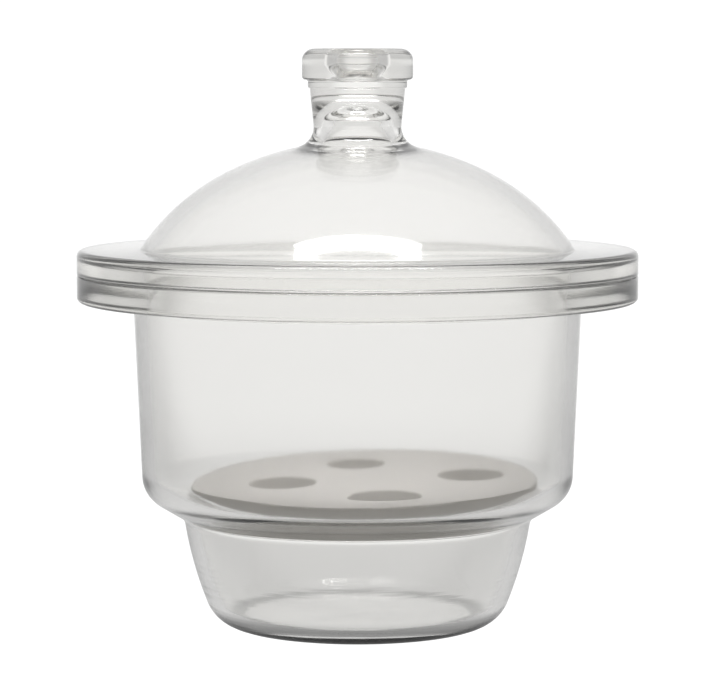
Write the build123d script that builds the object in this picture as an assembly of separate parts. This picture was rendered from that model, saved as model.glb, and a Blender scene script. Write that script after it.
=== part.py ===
from build123d import *

import math
import os

# A glass desiccator: a flanged base vessel, a porcelain plate on its inner
# ledge, a domed lid with a knob, and the grease film between the two flanges.
# The foot stands on z = 0 and the common axis is Z. Millimetres and degrees.

# Overall sizes
FLANGE_RADIUS = 108.5
SEAL_HEIGHT = 136.9
GREASE_THICKNESS = 0.2
TOTAL_HEIGHT = 224.0

# Base vessel, outer surface
WALL = 5.0
BASE_FLANGE_THICKNESS = 10.1
WALL_TOP_RADIUS = 86.8
WALL_LEAN = 2.56
LEDGE_LEAN = 31.0
NECK_RADIUS = 67.56
NECK_HEIGHT = 42.4
BOWL_CURVE_RADIUS = 144.0
BOWL_CURVE_CENTRE = (-75.0, 62.9)

# Base vessel, roundings. The corners between bowl, ledge and wall have their own
# roundings inside, where the pressed glass is thicker.
FOOT_ROUNDING = 15.0
NECK_ROUNDING = 5.0
SHOULDER_ROUNDING = 12.0
INNER_NECK_ROUNDING = 11.0
INNER_SHOULDER_ROUNDING = 10.0
UNDER_FLANGE_ROUNDING = 3.0
FLANGE_LOWER_ROUNDING = 2.0
GROUND_EDGE_ROUNDING = 0.6

# Lid
LID_WALL = 4.5
LID_FLANGE_THICKNESS = 9.7
CROWN_RADIUS = 112.57
CROWN_CENTRE_HEIGHT = 75.97
HAUNCH_RADIUS = 87.84
CROWN_HALF_ANGLE = 26.97
LID_TOP_ROUNDING = 2.5
LID_LOWER_ROUNDING = 0.8
CREASE_RADIUS = 84.0
CREASE_ROUNDING = 1.5
LID_MOUTH_ROUNDING = 5.0

# Knob, fused to the crown of the lid
WAIST_RADIUS = 15.5
WAIST_HEIGHT = 180.0
NECK_TOP_RADIUS = 18.5
NECK_TOP_HEIGHT = 208.6
BEAD_RADIUS = 19.2
BEAD_HEIGHT = 209.1
COLLAR_RADIUS = 21.5
COLLAR_HEIGHT = 211.9
WAIST_ROUNDING = 8.0
BEAD_ROUNDING = 0.4
COLLAR_TOP_ROUNDING = 4.8
COLLAR_LOWER_ROUNDING = 1.5
COLLAR_UNDER_ROUNDING = 0.8

# Recess in the knob's top, and the punt that rises into the knob from inside the dome
RECESS_RADIUS = 8.5
RECESS_STRAIGHT_DEPTH = 6.5
RECESS_DEPTH = 12.0
RECESS_FLOOR_RADIUS = 5.0
RECESS_MOUTH_ROUNDING = 1.4
RECESS_FLOOR_ROUNDING = 3.0
PUNT_RADIUS = 9.5
PUNT_CENTRE_HEIGHT = 194.7
PUNT_FOOT_RADIUS = 14.8
PUNT_FOOT_HEIGHT = 182.0
PUNT_FOOT_ROUNDING = 4.0

# Perforated plate. Each hole is given by its radius, its distance from the centre
# and its angle, because the pressed pattern is uneven. The plate is loose on the
# ledge, slipped towards one side, and so raised there.
PLATE_RADIUS = 68.0
PLATE_THICKNESS = 7.8
PLATE_EDGE_ROUNDING = 1.0
PLATE_HOLES = ((13.0, 43.0, 8.6), (11.4, 36.7, 95.0), (12.9, 31.9, 182.2), (13.8, 36.1, 282.2))
PLATE_HOLE_ROUNDING = 0.8
PLATE_TILT = 3.4
PLATE_RAISED_SIDE = 65.7
SEAT_CLEARANCE = 0.05

# Grease film
GREASE_INNER_RADIUS = 84.0
GREASE_OUTER_RADIUS = 106.0

# Derived heights
BASE_FLANGE_UNDERSIDE = SEAL_HEIGHT - BASE_FLANGE_THICKNESS
LID_HEIGHT = SEAL_HEIGHT + GREASE_THICKNESS
LID_FLANGE_TOP = LID_HEIGHT + LID_FLANGE_THICKNESS


def wall_radius(z, inset):
    """Radius of the tapered wall at height z, inset from the outer surface."""
    rise = BASE_FLANGE_UNDERSIDE - z
    lean = math.radians(WALL_LEAN)
    return WALL_TOP_RADIUS - rise * math.tan(lean) - inset / math.cos(lean)


def ledge_height(radius, inset):
    """Height of the sloping ledge at a radius, inset from the outer surface."""
    lean = math.radians(LEDGE_LEAN)
    return NECK_HEIGHT + (radius - NECK_RADIUS) * math.tan(lean) + inset / math.cos(lean)


def rounded(face, radius, height, rounding):
    """Round the corner of an outline that lies nearest to (radius, height)."""
    corner = face.vertices().sort_by_distance((radius, height, 0))[0]
    return fillet(corner, rounding)


def turned(face):
    """Turn an outline of radii and heights about the Z axis."""
    return revolve(Plane.XZ * face, axis=Axis.Z).solid()


def band(low, high, reach):
    """A rectangle from the axis out to reach, between two heights."""
    return Polygon((0, low), (reach, low), (reach, high), (0, high), align=None)


def vessel_outline(inset, neck_rounding, shoulder_rounding):
    """The shape of the base without its flange, inset from its outer surface."""
    reach = FLANGE_RADIUS
    ledge = Polygon(
        (0, ledge_height(0, inset)),
        (reach, ledge_height(reach, inset)),
        (reach, SEAL_HEIGHT),
        (0, SEAL_HEIGHT),
        align=None,
    )
    wall = Polygon(
        (0, 0),
        (wall_radius(0, inset), 0),
        (wall_radius(SEAL_HEIGHT, inset), SEAL_HEIGHT),
        (0, SEAL_HEIGHT),
        align=None,
    )
    curve = Pos(*BOWL_CURVE_CENTRE) * Circle(BOWL_CURVE_RADIUS - inset)
    bowl = curve & band(inset, NECK_HEIGHT + inset, reach)
    face = (ledge & wall) + bowl
    shoulder_height = ledge_height(wall_radius(NECK_HEIGHT, inset), inset)
    face = rounded(face, NECK_RADIUS - inset, NECK_HEIGHT + inset, neck_rounding)
    face = rounded(face, wall_radius(shoulder_height, inset), shoulder_height, shoulder_rounding)
    return rounded(face, NECK_RADIUS - 2 * inset, inset, FOOT_ROUNDING - inset)


def base_vessel():
    """One piece of glass: bowl, ledge, tapered wall and flange."""
    flange = band(BASE_FLANGE_UNDERSIDE, SEAL_HEIGHT, FLANGE_RADIUS)
    outside = vessel_outline(0, NECK_ROUNDING, SHOULDER_ROUNDING)
    inside = vessel_outline(WALL, INNER_NECK_ROUNDING, INNER_SHOULDER_ROUNDING)
    face = outside + flange - inside
    face = rounded(face, WALL_TOP_RADIUS, BASE_FLANGE_UNDERSIDE, UNDER_FLANGE_ROUNDING)
    face = rounded(face, FLANGE_RADIUS, BASE_FLANGE_UNDERSIDE, FLANGE_LOWER_ROUNDING)
    face = rounded(face, FLANGE_RADIUS, SEAL_HEIGHT, GROUND_EDGE_ROUNDING)
    face = rounded(face, wall_radius(SEAL_HEIGHT, WALL), SEAL_HEIGHT, GROUND_EDGE_ROUNDING)
    return turned(face)


def dome_outline(inset):
    """The dome, inset from its outer surface: a crown arc that runs into a haunch arc."""
    lean = math.radians(CROWN_HALF_ANGLE)
    shift = CROWN_RADIUS - HAUNCH_RADIUS
    haunch_centre = (shift * math.sin(lean), CROWN_CENTRE_HEIGHT + shift * math.cos(lean))
    haunch = HAUNCH_RADIUS - inset
    haunch_drop = math.degrees(math.asin((LID_HEIGHT - haunch_centre[1]) / haunch))
    crown_arc = CenterArc((0, CROWN_CENTRE_HEIGHT), CROWN_RADIUS - inset, 90, -CROWN_HALF_ANGLE)
    haunch_start = 90 - CROWN_HALF_ANGLE
    haunch_arc = CenterArc(haunch_centre, haunch, haunch_start, haunch_drop - haunch_start)
    closing = Polyline(haunch_arc @ 1, (0, LID_HEIGHT), crown_arc @ 0)
    return make_face(Curve() + [crown_arc, haunch_arc, closing])


def knob_outline():
    """The waisted neck, bead and collar of the knob, down into the crown."""
    return Polygon(
        (0, WAIST_HEIGHT),
        (WAIST_RADIUS, WAIST_HEIGHT),
        (NECK_TOP_RADIUS, NECK_TOP_HEIGHT),
        (BEAD_RADIUS, BEAD_HEIGHT),
        (BEAD_RADIUS, COLLAR_HEIGHT),
        (COLLAR_RADIUS, COLLAR_HEIGHT),
        (COLLAR_RADIUS, TOTAL_HEIGHT),
        (0, TOTAL_HEIGHT),
        align=None,
    )


def recess_outline():
    """The pressed hollow in the top of the knob."""
    straight_end = TOTAL_HEIGHT - RECESS_STRAIGHT_DEPTH
    floor = TOTAL_HEIGHT - RECESS_DEPTH
    face = Polygon(
        (0, floor),
        (RECESS_FLOOR_RADIUS, floor),
        (RECESS_RADIUS, straight_end),
        (RECESS_RADIUS, TOTAL_HEIGHT),
        (0, TOTAL_HEIGHT),
        align=None,
    )
    return rounded(face, RECESS_FLOOR_RADIUS, floor, RECESS_FLOOR_ROUNDING)


def punt_outline():
    """The round-topped hollow that rises into the knob from inside the dome."""
    skirt = Polygon(
        (0, PUNT_FOOT_HEIGHT),
        (PUNT_FOOT_RADIUS, PUNT_FOOT_HEIGHT),
        (PUNT_RADIUS, PUNT_CENTRE_HEIGHT),
        (0, PUNT_CENTRE_HEIGHT),
        align=None,
    )
    cap = Pos(0, PUNT_CENTRE_HEIGHT) * Circle(PUNT_RADIUS)
    cap_side = band(PUNT_CENTRE_HEIGHT, TOTAL_HEIGHT, COLLAR_RADIUS)
    return skirt + (cap & cap_side)


def lid_mouth_outline():
    """The hollow of the lid: dome and punt, narrowed to the bore of the flange."""
    bore = band(LID_HEIGHT, TOTAL_HEIGHT, wall_radius(SEAL_HEIGHT, WALL))
    face = dome_outline(LID_WALL) & bore
    bore_top = LID_HEIGHT + LID_WALL
    face = rounded(face, wall_radius(SEAL_HEIGHT, WALL), bore_top, LID_MOUTH_ROUNDING)
    face = face + punt_outline()
    crown_inside = CROWN_CENTRE_HEIGHT + CROWN_RADIUS - LID_WALL
    return rounded(face, PUNT_FOOT_RADIUS, crown_inside, PUNT_FOOT_ROUNDING)


def lid():
    """One piece of glass: flange, dome and knob."""
    flange = band(LID_HEIGHT, LID_FLANGE_TOP, FLANGE_RADIUS)
    crown_outside = CROWN_CENTRE_HEIGHT + CROWN_RADIUS
    face = dome_outline(0) + knob_outline() + flange
    face = rounded(face, WAIST_RADIUS, crown_outside, WAIST_ROUNDING)
    face = rounded(face, CREASE_RADIUS, LID_FLANGE_TOP, CREASE_ROUNDING)
    face = rounded(face, FLANGE_RADIUS, LID_FLANGE_TOP, LID_TOP_ROUNDING)
    face = rounded(face, FLANGE_RADIUS, LID_HEIGHT, LID_LOWER_ROUNDING)
    face = rounded(face, BEAD_RADIUS, BEAD_HEIGHT, BEAD_ROUNDING)
    face = rounded(face, BEAD_RADIUS, COLLAR_HEIGHT, COLLAR_UNDER_ROUNDING)
    face = rounded(face, COLLAR_RADIUS, COLLAR_HEIGHT, COLLAR_LOWER_ROUNDING)
    face = rounded(face, COLLAR_RADIUS, TOTAL_HEIGHT, COLLAR_TOP_ROUNDING)
    face = face - recess_outline() - lid_mouth_outline()
    face = rounded(face, RECESS_RADIUS, TOTAL_HEIGHT, RECESS_MOUTH_ROUNDING)
    face = rounded(face, wall_radius(SEAL_HEIGHT, WALL), LID_HEIGHT, GROUND_EDGE_ROUNDING)
    return turned(face)


def level_plate():
    """The porcelain disc lying level, with the rounding of its lower edge centred on z = 0."""
    disc = Cylinder(PLATE_RADIUS, PLATE_THICKNESS, align=(Align.CENTER, Align.CENTER, Align.MIN))
    disc = fillet(disc.edges().filter_by(GeomType.CIRCLE), PLATE_EDGE_ROUNDING)
    for radius, distance, angle in PLATE_HOLES:
        hole = Cylinder(radius, PLATE_THICKNESS, align=(Align.CENTER, Align.CENTER, Align.MIN))
        disc = disc - Rot(0, 0, angle) * Pos(distance, 0, 0) * hole
    circles = disc.edges().filter_by(GeomType.CIRCLE)
    rims = circles.filter_by(lambda edge: edge.radius < PLATE_RADIUS / 2)
    return Pos(0, 0, -PLATE_EDGE_ROUNDING) * fillet(rims, PLATE_HOLE_ROUNDING)


def perforated_plate():
    """The disc resting on the conical ledge by its lower edge, slipped to one side and tilted."""
    core_radius = PLATE_RADIUS - PLATE_EDGE_ROUNDING
    rise = core_radius * math.sin(math.radians(PLATE_TILT))
    slip = rise / math.tan(math.radians(LEDGE_LEAN))
    inset = WALL + PLATE_EDGE_ROUNDING + SEAT_CLEARANCE
    rest = ledge_height(math.hypot(core_radius, slip), inset)
    side = math.radians(PLATE_RAISED_SIDE)
    hinge_line = Axis((0, 0, 0), (math.sin(side), -math.cos(side), 0))
    tilted = level_plate().rotate(hinge_line, PLATE_TILT)
    return (Pos(slip * math.cos(side), slip * math.sin(side), rest) * tilted).solid()


def sealing_grease():
    """Thin ring of grease between the two ground faces."""
    ring = Circle(GREASE_OUTER_RADIUS) - Circle(GREASE_INNER_RADIUS)
    return (Pos(0, 0, SEAL_HEIGHT) * extrude(ring, GREASE_THICKNESS)).solid()


nodes = {
    "base_vessel": base_vessel(),
    "perforated_plate": perforated_plate(),
    "sealing_grease": sealing_grease(),
    "lid": lid(),
}

os.makedirs("parts", exist_ok=True)
for name, solid in nodes.items():
    export_step(solid, "parts/" + name + ".step")
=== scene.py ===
import math

import bpy
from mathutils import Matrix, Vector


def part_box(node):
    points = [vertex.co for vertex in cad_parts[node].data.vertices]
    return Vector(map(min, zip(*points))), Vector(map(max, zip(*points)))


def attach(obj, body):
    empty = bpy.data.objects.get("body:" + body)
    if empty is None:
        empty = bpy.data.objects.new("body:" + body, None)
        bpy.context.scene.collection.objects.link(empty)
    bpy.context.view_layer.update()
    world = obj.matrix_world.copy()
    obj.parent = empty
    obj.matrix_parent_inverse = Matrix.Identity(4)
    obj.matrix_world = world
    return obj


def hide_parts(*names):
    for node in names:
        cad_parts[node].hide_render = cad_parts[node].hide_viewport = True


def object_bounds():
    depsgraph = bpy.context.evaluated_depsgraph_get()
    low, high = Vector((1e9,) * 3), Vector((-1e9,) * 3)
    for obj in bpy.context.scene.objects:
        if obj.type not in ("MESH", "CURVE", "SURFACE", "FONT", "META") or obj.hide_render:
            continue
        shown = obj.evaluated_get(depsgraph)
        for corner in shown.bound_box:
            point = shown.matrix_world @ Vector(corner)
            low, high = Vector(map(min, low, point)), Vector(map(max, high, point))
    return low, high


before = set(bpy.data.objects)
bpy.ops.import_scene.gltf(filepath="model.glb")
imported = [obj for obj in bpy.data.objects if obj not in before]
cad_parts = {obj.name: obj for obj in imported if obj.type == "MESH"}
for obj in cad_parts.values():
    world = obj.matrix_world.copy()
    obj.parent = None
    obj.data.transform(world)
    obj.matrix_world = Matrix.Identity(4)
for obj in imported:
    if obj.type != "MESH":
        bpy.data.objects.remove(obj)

cad_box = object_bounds()

# BASE VESSEL
# One piece of pressed clear glass: a bowl for the drying agent, a sloping ledge,
# a tapered wall and a thick flange. The flange's top face is ground flat.
TURN_STEPS = 288
MERGE_DISTANCE = 1e-6
STRAIGHT_ANGLE = math.radians(0.4)
SMOOTH_ANGLE = math.radians(40)

GLASS_COLOUR = (0.955, 0.952, 0.942, 1)
GROUND_COLOUR = (0.94, 0.94, 0.93, 1)
GROUND_TINT = 0.4
DEPTH_COLOUR = (0.66, 0.64, 0.54, 1)
DEPTH_DENSITY = 4.0
GLASS_IOR = 1.5
POLISHED = 0.07
GROUND = 0.16
GROUND_DEPTH = 0.00015
GRIT_SCALE = 2600.0
GRIT_SHARE = 0.2
WAVE_STRETCH = (9.0, 9.0, 95.0)
WAVE_SHARE = 0.6
WOBBLE_SCALE = 28.0
STREAK_STRETCH = (22.0, 22.0, 480.0)
STREAK_SHARE = 1.1
BOWL_TOP = 0.042
BOWL_MIDDLE = 0.034
RELIEF_HEIGHT = 0.00006


class Wire:
    """A socket that takes part in sums: an operator on it adds the Math node that does the sum."""

    def __init__(self, finish, socket):
        self.finish = finish
        self.socket = socket

    def sum(self, operation, first, second):
        return self.finish.add("ShaderNodeMath", {"operation": operation}, {0: first, 1: second})

    def __add__(self, other):
        return self.sum("ADD", self, other)

    def __radd__(self, other):
        return self.sum("ADD", other, self)

    def __sub__(self, other):
        return self.sum("SUBTRACT", self, other)

    def __rsub__(self, other):
        return self.sum("SUBTRACT", other, self)

    def __mul__(self, other):
        return self.sum("MULTIPLY", self, other)

    def __rmul__(self, other):
        return self.sum("MULTIPLY", other, self)

    def __truediv__(self, other):
        return self.sum("DIVIDE", self, other)

    def __gt__(self, other):
        return self.sum("GREATER_THAN", self, other)

    def __lt__(self, other):
        return self.sum("LESS_THAN", self, other)


class Finish:
    """The node tree of one material or of the world."""

    def __init__(self, owner):
        owner.use_nodes = True
        self.owner = owner
        self.tree = owner.node_tree
        self.tree.nodes.clear()

    def add(self, kind, settings, inputs, output=0):
        node = self.tree.nodes.new(kind)
        for name, value in settings.items():
            setattr(node, name, value)
        for name, value in inputs.items():
            if isinstance(value, Wire):
                self.tree.links.new(value.socket, node.inputs[name])
            else:
                node.inputs[name].default_value = value
        return Wire(self, node.outputs[output]) if len(node.outputs) else None


def blended(finish, amount, first, second):
    """A colour between first and second, by amount."""
    settings = {"data_type": "RGBA"}
    return finish.add("ShaderNodeMix", settings, {"Factor": amount, 6: first, 7: second}, 2)


def noise(finish, place, scale, detail):
    """A cloudy number from 0 to 1 that varies with place."""
    return finish.add("ShaderNodeTexNoise", {}, {"Vector": place, "Scale": scale, "Detail": detail})


def faded(finish, value, start, end, low=0.0, high=1.0, curve="LINEAR"):
    """A number that goes from low to high as value goes from start to end."""
    sockets = {"Value": value, "From Min": start, "From Max": end, "To Min": low, "To Max": high}
    return finish.add("ShaderNodeMapRange", {"interpolation_type": curve}, sockets)


def glass(name, ground_height):
    """Clear glass with faint mould waves, streaks in the bowl, and a ground face at one height."""
    finish = Finish(bpy.data.materials.new(name))
    place = finish.add("ShaderNodeTexCoord", {}, {}, "Object")
    height = finish.add("ShaderNodeSeparateXYZ", {}, {"Vector": place}, "Z")
    offset = finish.add("ShaderNodeMath", {"operation": "ABSOLUTE"}, {0: height - ground_height})
    ground = offset < GROUND_DEPTH
    grit = noise(finish, place, GRIT_SCALE, detail=3.0)
    wave_place = finish.add("ShaderNodeMapping", {}, {"Vector": place, "Scale": WAVE_STRETCH})
    waves = noise(finish, wave_place, scale=1.0, detail=2.0)
    wobble = noise(finish, place, WOBBLE_SCALE, detail=1.0)
    streak_place = finish.add("ShaderNodeMapping", {}, {"Vector": place, "Scale": STREAK_STRETCH})
    streaks = noise(finish, streak_place, scale=1.0, detail=2.0)
    bowl = faded(finish, height, BOWL_TOP, BOWL_MIDDLE)
    relief = waves * WAVE_SHARE + wobble + streaks * bowl * STREAK_SHARE + grit * ground * GRIT_SHARE
    bump_sockets = {"Height": relief, "Strength": 1.0, "Distance": RELIEF_HEIGHT}
    bump = finish.add("ShaderNodeBump", {}, bump_sockets, "Normal")
    surface = finish.add(
        "ShaderNodeBsdfPrincipled",
        {},
        {
            "Base Color": blended(finish, ground * GROUND_TINT, GLASS_COLOUR, GROUND_COLOUR),
            "Roughness": POLISHED + ground * (GROUND - POLISHED),
            "IOR": GLASS_IOR,
            "Transmission Weight": 1.0,
            "Normal": bump,
        },
    )
    depth_sockets = {"Color": DEPTH_COLOUR, "Density": DEPTH_DENSITY}
    depth = finish.add("ShaderNodeVolumeAbsorption", {}, depth_sockets)
    finish.add("ShaderNodeOutputMaterial", {}, {"Surface": surface, "Volume": depth})
    return finish.owner


def merged_copy(node, name):
    """A copy of a node with its loose triangles joined, left in edit mode with all of it selected."""
    bpy.ops.object.select_all(action="DESELECT")
    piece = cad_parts[node].copy()
    piece.data = piece.data.copy()
    piece.name = name
    piece.parent = None
    for key in list(piece.keys()):
        del piece[key]
    bpy.context.scene.collection.objects.link(piece)
    bpy.context.view_layer.objects.active = piece
    piece.select_set(True)
    bpy.ops.object.mode_set(mode="EDIT")
    bpy.ops.mesh.select_mode(type="VERT")
    bpy.ops.mesh.select_all(action="SELECT")
    bpy.ops.mesh.remove_doubles(threshold=MERGE_DISTANCE)
    bpy.ops.mesh.select_all(action="SELECT")
    return piece


def turned_copy(node, name):
    """Cuts a fine outline from the node, and spins it into a smooth closed shell about the axis."""
    piece = merged_copy(node, name)
    bpy.ops.mesh.bisect(plane_co=(0, 0, 0), plane_no=(0, 1, 0), clear_inner=True, clear_outer=True)
    bpy.ops.mesh.select_all(action="SELECT")
    bpy.ops.mesh.bisect(plane_co=(0, 0, 0), plane_no=(1, 0, 0), clear_inner=True)
    bpy.ops.mesh.select_all(action="SELECT")
    bpy.ops.mesh.dissolve_limited(angle_limit=STRAIGHT_ANGLE)
    bpy.ops.mesh.select_all(action="SELECT")
    bpy.ops.mesh.spin(steps=TURN_STEPS, angle=2 * math.pi, center=(0, 0, 0), axis=(0, 0, 1))
    bpy.ops.mesh.select_all(action="SELECT")
    bpy.ops.mesh.remove_doubles(threshold=MERGE_DISTANCE)
    bpy.ops.mesh.select_all(action="SELECT")
    bpy.ops.mesh.normals_make_consistent(inside=False)
    bpy.ops.object.mode_set(mode="OBJECT")
    bpy.ops.object.shade_smooth_by_angle(angle=SMOOTH_ANGLE)
    return piece


base = turned_copy("base_vessel", "base_glass")
seal_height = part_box("base_vessel")[1].z
base.data.materials.clear()
base.data.materials.append(glass("base_clear_glass", seal_height))
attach(base, "base")
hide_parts("base_vessel")

# LID
# One piece of the same glass: a ground flange, a blown dome and a knob fused to
# its crown, with a recess pressed in the top and a hollow that rises from below.
lid = turned_copy("lid", "lid_glass")
lid_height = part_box("lid")[0].z
lid.data.materials.clear()
lid.data.materials.append(glass("lid_clear_glass", lid_height))
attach(lid, "lid")
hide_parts("lid")

# PERFORATED PLATE
# Fired porcelain with a thin glaze on its flat top and a bare, matt rim. The rim's
# darker colour is painted shade, and so is the slightly darker colour of the hole walls
# and underside. It lies loose on the ledge. The holes let moist air down to the drying agent.
PLATE_LOW, PLATE_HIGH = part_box("perforated_plate")
PLATE_CENTRE = (PLATE_LOW + PLATE_HIGH) / 2
RIM_START = 0.0665
FLAT_TOP = 0.8
SPECK_SCALE = 900.0
SPECK_SHARE = 0.4
CLOUD_SCALE = 35.0
GLAZE_COLOURS = ((0.84, 0.805, 0.77, 1), (0.90, 0.865, 0.83, 1))
# Painted shade: colours for faces that do not point up, a little darker than the top within the rim
# and much darker on the rim.
SHADED_HOLE_COLOURS = ((0.80, 0.77, 0.73, 1), (0.87, 0.84, 0.80, 1))
SHADED_RIM_COLOURS = ((0.60, 0.575, 0.53, 1), (0.70, 0.67, 0.625, 1))
BARE_ROUGHNESS = 0.75
GLAZE_GAIN = 0.35
PORCELAIN_IOR = 1.5
PORCELAIN_RELIEF = 0.0002
RELIEF_STRENGTH = 0.4


def porcelain():
    """Off-white glaze with fine specks on top, bare matt body in the holes and on the rim, painted
    darker there as shade: a little in the holes, much more on the rim.
    """
    finish = Finish(bpy.data.materials.new("porcelain"))
    place = finish.add("ShaderNodeTexCoord", {}, {}, "Object")
    specks = noise(finish, place, SPECK_SCALE, detail=4.0)
    clouds = noise(finish, place, CLOUD_SCALE, detail=3.0)
    facing = finish.add("ShaderNodeNewGeometry", {}, {}, "Normal")
    glazed_lit_top = finish.add("ShaderNodeSeparateXYZ", {}, {"Vector": facing}, "Z") > FLAT_TOP
    offset = finish.add("ShaderNodeVectorMath", {"operation": "SUBTRACT"}, {0: place, 1: PLATE_CENTRE})
    flat = finish.add("ShaderNodeVectorMath", {"operation": "MULTIPLY"}, {0: offset, 1: (1, 1, 0)})
    reach = finish.add("ShaderNodeVectorMath", {"operation": "LENGTH"}, {0: flat}, "Value")
    glaze_colour = blended(finish, clouds, *GLAZE_COLOURS)
    shaded_hole_colour = blended(finish, clouds, *SHADED_HOLE_COLOURS)
    shaded_rim_colour = blended(finish, clouds, *SHADED_RIM_COLOURS)
    # Painted shade: the rim takes the darkest colour, the hole walls and underside a slightly darker
    # one than the top.
    shaded_bare_colour = blended(finish, reach > RIM_START, shaded_hole_colour, shaded_rim_colour)
    relief = specks * SPECK_SHARE + clouds
    bump_sockets = {"Height": relief, "Strength": RELIEF_STRENGTH, "Distance": PORCELAIN_RELIEF}
    surface = finish.add(
        "ShaderNodeBsdfPrincipled",
        {},
        {
            # Painted shade and a real glaze: faces pointing up take the lighter top colour and the
            # glaze's lower roughness; all others take the darker shaded colours.
            "Base Color": blended(finish, glazed_lit_top, shaded_bare_colour, glaze_colour),
            "Roughness": BARE_ROUGHNESS - glazed_lit_top * GLAZE_GAIN,
            "IOR": PORCELAIN_IOR,
            "Normal": finish.add("ShaderNodeBump", {}, bump_sockets, "Normal"),
        },
    )
    finish.add("ShaderNodeOutputMaterial", {}, {"Surface": surface})
    return finish.owner


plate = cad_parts["perforated_plate"]
plate.data.materials.clear()
plate.data.materials.append(porcelain())

# SEALING GREASE
# A thin film of clear grease pressed between the two ground faces. It clings to
# the lid's face and comes away with it.
FILM_SHARE = 0.5
GREASE_COLOUR = (0.80, 0.80, 0.77, 1)
GREASE_IOR = 1.4
GREASE_SHEEN = 0.25
SMEAR_SCALE = 120.0
SMEAR_ROUGHNESS = 0.3
THIN_SMEAR = 0.3
THICK_SMEAR = 0.7
THINNEST_COVER = 0.1
THICKEST_COVER = 0.4


def grease():
    """Wet, cloudy and nearly clear, with smears where the lid was turned."""
    finish = Finish(bpy.data.materials.new("grease"))
    place = finish.add("ShaderNodeTexCoord", {}, {}, "Object")
    smears = noise(finish, place, SMEAR_SCALE, detail=4.0)
    cover = faded(finish, smears, THIN_SMEAR, THICK_SMEAR, THINNEST_COVER, THICKEST_COVER)
    surface = finish.add(
        "ShaderNodeBsdfPrincipled",
        {},
        {
            "Base Color": GREASE_COLOUR,
            "Roughness": GREASE_SHEEN + smears * SMEAR_ROUGHNESS,
            "IOR": GREASE_IOR,
            "Alpha": cover,
        },
    )
    finish.add("ShaderNodeOutputMaterial", {}, {"Surface": surface})
    return finish.owner


film = merged_copy("sealing_grease", "grease_film")
bpy.ops.transform.resize(value=(1, 1, FILM_SHARE))
bpy.ops.object.mode_set(mode="OBJECT")
film.data.materials.clear()
film.data.materials.append(grease())
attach(film, "lid")
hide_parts("sealing_grease")

# STUDIO
# A wide floor, a soft box overhead and a pale surround. Seen directly, floor and
# surround are white. Through the glass, and as light, they have graded tones:
# darker round the foot, to the sides and in front of the object. The floor glows;
# its darkening round the foot is a painted contact shadow, and its darker sides are painted shade.
WHITE = 1.1
FLOOR_SIZE = 12.0
FLOOR_GAP = 0.0002
FOOT_RADIUS = 0.0448
# Painted contact shadow on the floor: a tone under the foot, and a dark ring just round it that
# lightens outwards.
SHADE_UNDER_FOOT = 0.66
CONTACT_START = 0.051
CONTACT_END = 0.06
CONTACT_SHADE = 0.28
CLOSE_SHADE = 0.72
NEAR_START = 0.09
NEAR_END = 0.8
NEAR_GAIN = 0.28
WIDE_START = 0.9
WIDE_END = 4.0
WIDE_GAIN = 0.04
STRAIGHT_BACK = 0.99
WELL_ASIDE = 0.9
SIDE_SHADE = 0.36
OPEN_START = 0.12
OPEN_END = 0.5
OPEN_AT_FOOT = 0.18
DISTANT_START = 1.5
DISTANT_END = 3.0
DISTANT_SHARE = 0.5

low, high = cad_box
bpy.ops.object.select_all(action="DESELECT")
bpy.ops.mesh.primitive_grid_add(
    x_subdivisions=4,
    y_subdivisions=4,
    size=FLOOR_SIZE,
    location=(0, 0, low.z - FLOOR_GAP),
)
floor = bpy.context.object
floor.name = "floor"
finish = Finish(bpy.data.materials.new("pale_floor"))
place = finish.add("ShaderNodeTexCoord", {}, {}, "Object")
reach = finish.add("ShaderNodeVectorMath", {"operation": "LENGTH"}, {0: place}, "Value")
seen = finish.add("ShaderNodeLightPath", {}, {}, "Is Camera Ray")
back = finish.add("ShaderNodeSeparateXYZ", {}, {"Vector": place}, "Y") / reach
# Painted shadow: the floor is darker under the foot and darkest in a ring round it.
under = reach < FOOT_RADIUS
shade = faded(finish, reach, CONTACT_START, CONTACT_END, CONTACT_SHADE, CLOSE_SHADE)
near = faded(finish, reach, NEAR_START, NEAR_END, 0.0, NEAR_GAIN, "SMOOTHSTEP")
wide = faded(finish, reach, WIDE_START, WIDE_END, 0.0, WIDE_GAIN)
# Painted shade: the floor is darker to the sides and in front than straight behind, less so near the
# foot and far off.
painted_side_shade = faded(finish, back, STRAIGHT_BACK, WELL_ASIDE, 0.0, SIDE_SHADE, "SMOOTHSTEP")
open_floor = faded(finish, reach, OPEN_START, OPEN_END, OPEN_AT_FOOT)
distant = faded(finish, reach, DISTANT_START, DISTANT_END, 0.0, DISTANT_SHARE)
tone = under * SHADE_UNDER_FOOT + (1 - under) * shade + near + wide
through_glass = tone * (1 - painted_side_shade * (open_floor - distant))
strength = seen * WHITE + (1 - seen) * through_glass
glow = finish.add("ShaderNodeEmission", {}, {"Strength": strength})
finish.add("ShaderNodeOutputMaterial", {}, {"Surface": glow})
floor.data.materials.append(finish.owner)

BOX_PLACE = (0, -0.395, 1.45)
BOX_WIDTH = 1.12
BOX_DEPTH = 0.17
BOX_POWER = 12.0

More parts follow.
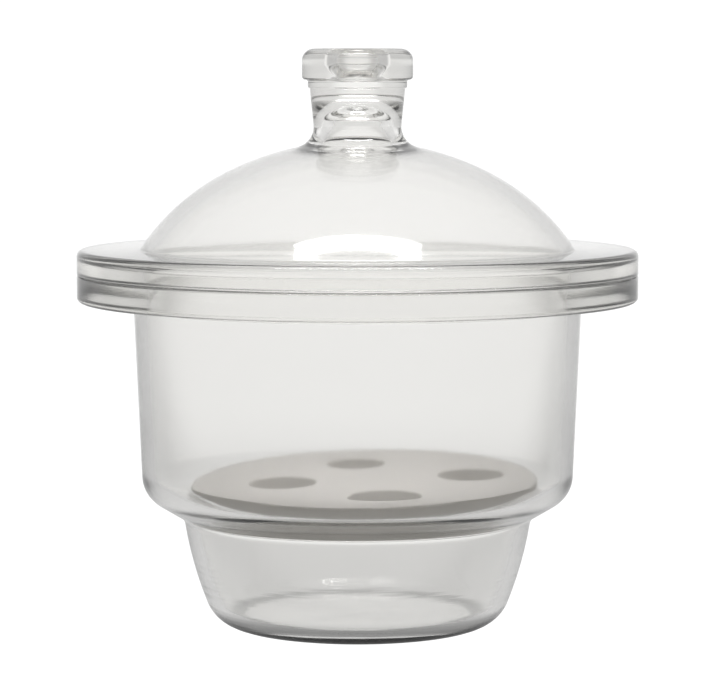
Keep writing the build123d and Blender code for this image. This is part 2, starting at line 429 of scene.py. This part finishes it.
bpy.ops.object.light_add(type="AREA", location=BOX_PLACE)
box = bpy.context.object
box.name = "overhead_box"
box.data.shape = "RECTANGLE"
box.data.size = BOX_WIDTH
box.data.size_y = BOX_DEPTH
box.data.energy = BOX_POWER
box.visible_camera = False

FRONT_LIMIT = -0.3
FRONT_TONE = 0.22
SIDE_TONE = 0.8
BACK_GAIN = 0.23
CROWN_START = 0.2
CROWN_END = 0.95

world = bpy.data.worlds.new("surroundings")
bpy.context.scene.world = world
finish = Finish(world)
toward = finish.add("ShaderNodeTexCoord", {}, {}, "Generated")
back = finish.add("ShaderNodeSeparateXYZ", {}, {"Vector": toward}, "Y")
up = finish.add("ShaderNodeSeparateXYZ", {}, {"Vector": toward}, "Z")
seen = finish.add("ShaderNodeLightPath", {}, {}, "Is Camera Ray")
round_about = faded(finish, back, FRONT_LIMIT, WELL_ASIDE, FRONT_TONE, SIDE_TONE, "SMOOTHSTEP")
ring = round_about + faded(finish, back, WELL_ASIDE, STRAIGHT_BACK, 0.0, BACK_GAIN, "SMOOTHSTEP")
crown = faded(finish, up, CROWN_START, CROWN_END, curve="SMOOTHSTEP")
through_glass = ring * (1 - crown) + crown
light_sockets = {"Color": (1, 1, 1, 1), "Strength": seen * WHITE + (1 - seen) * through_glass}
light = finish.add("ShaderNodeBackground", {}, light_sockets)
finish.add("ShaderNodeOutputWorld", {}, {"Surface": light})

LIGHT_BOUNCES = 24
scene = bpy.context.scene
scene.view_settings.view_transform = "Standard"
scene.cycles.max_bounces = LIGHT_BOUNCES
scene.cycles.transmission_bounces = LIGHT_BOUNCES

# CAMERA
# It stands just below the height of the knob's top, far off for little
# perspective, and tips down to the middle of the object.
CAMERA_DISTANCE = 1.23
CAMERA_HEIGHT = 0.2195
CAMERA_DIP = math.radians(5.21)
SENSOR_WIDTH = 36.0
LENS = 160.1

bpy.ops.object.camera_add(
    location=((low.x + high.x) / 2, -CAMERA_DISTANCE, CAMERA_HEIGHT),
    rotation=(math.pi / 2 - CAMERA_DIP, 0, 0),
)
camera = bpy.context.object
camera.data.sensor_width = SENSOR_WIDTH
camera.data.lens = LENS
scene.camera = camera
